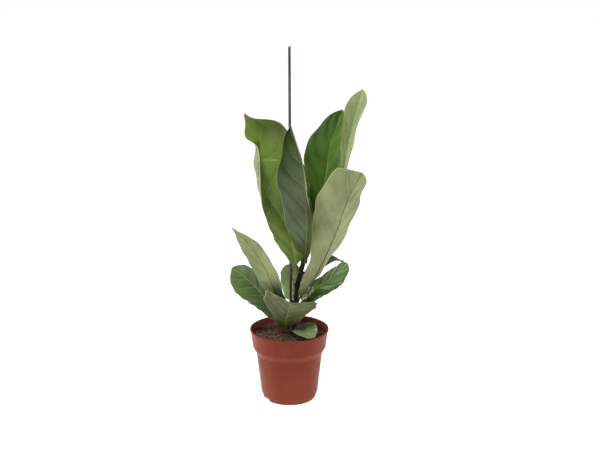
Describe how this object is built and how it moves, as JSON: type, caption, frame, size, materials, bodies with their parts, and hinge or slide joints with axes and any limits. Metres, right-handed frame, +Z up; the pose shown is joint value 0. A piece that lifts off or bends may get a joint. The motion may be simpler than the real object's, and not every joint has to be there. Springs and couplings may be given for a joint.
{
  "type": "potted fiddle leaf fig",
  "caption": "Young fiddle leaf fig with broad leathery leaves round a short stem and a tall straight cane, in a round flared plastic nursery pot.",
  "frame": {"origin": "on the pot's axis, at the underside of the pot's floor, on the surface it stands on", "axes": "+Z up along the pot's axis and the cane; +X to the side that the tallest leaf leans to; -Y towards the front, where the broad low leaf hangs over the rim"},
  "size_m": [0.2866, 0.2188, 0.763],
  "materials": {
    "pot_plastic": "satin",
    "soil": "rough",
    "cane": "satin",
    "bark": "matte",
    "leaf": "glossy",
    "sheath": "matte"
  },
  "bodies": {
    "root": {"pot": "pot_plastic", "soil": "soil", "support_cane": "cane", "stem": "bark", "bud_sheath": "sheath", "leaf_01": "leaf", "leaf_02": "leaf", "leaf_03": "leaf", "leaf_04": "leaf", "leaf_05": "leaf", "leaf_06": "leaf", "leaf_07": "leaf", "leaf_08": "leaf", "leaf_09": "leaf", "leaf_10": "leaf", "leaf_11": "leaf", "leaf_12": "leaf", "leaf_13": "leaf"}
  },
  "joints": []
}
